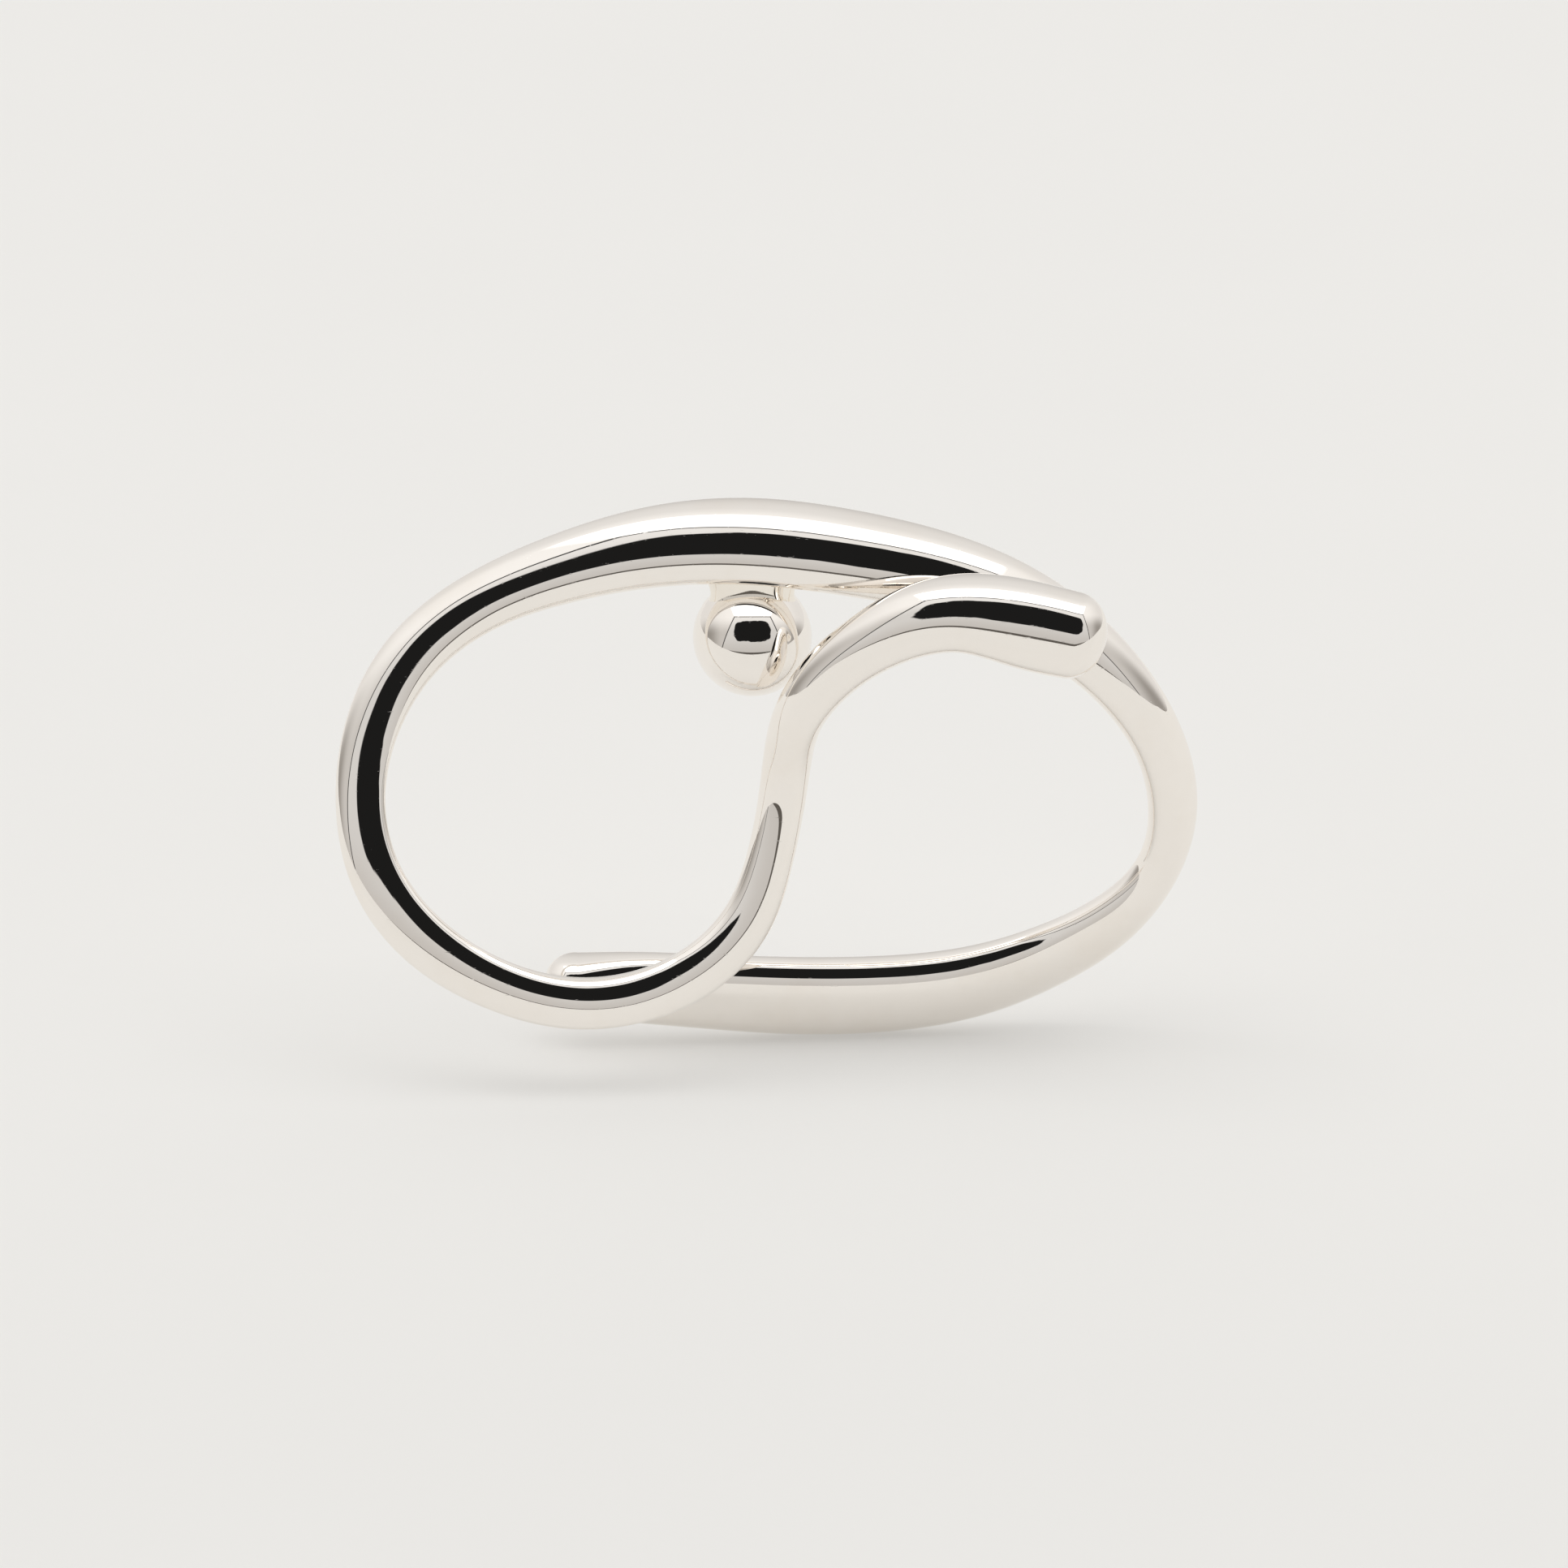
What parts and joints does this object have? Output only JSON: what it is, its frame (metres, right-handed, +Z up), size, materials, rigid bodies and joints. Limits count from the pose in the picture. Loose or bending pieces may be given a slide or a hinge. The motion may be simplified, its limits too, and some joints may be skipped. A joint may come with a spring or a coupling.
{
  "type": "metal ring puzzle",
  "caption": "Polished swelling oval bar bent into a ring with a front loop and S, a ball soldered under its top.",
  "frame": {"origin": "on the floor, under the middle of the ring's box, with the ring standing on its back bar and its face leaning back 22 degrees", "axes": "+X across the face, towards the side that the bar's front tip points to; +Y away from the face; +Z up"},
  "size_m": [0.06, 0.0168, 0.0417],
  "materials": {
    "polished_metal": "mirror polished silver-coloured metal",
    "peg_metal": "plain wire, hidden inside",
    "solder": "polished solder"
  },
  "bodies": {
    "root": {"bent_bar": "polished_metal", "ball": "polished_metal", "ball_peg": "peg_metal", "solder_collar": "solder"}
  },
  "joints": []
}
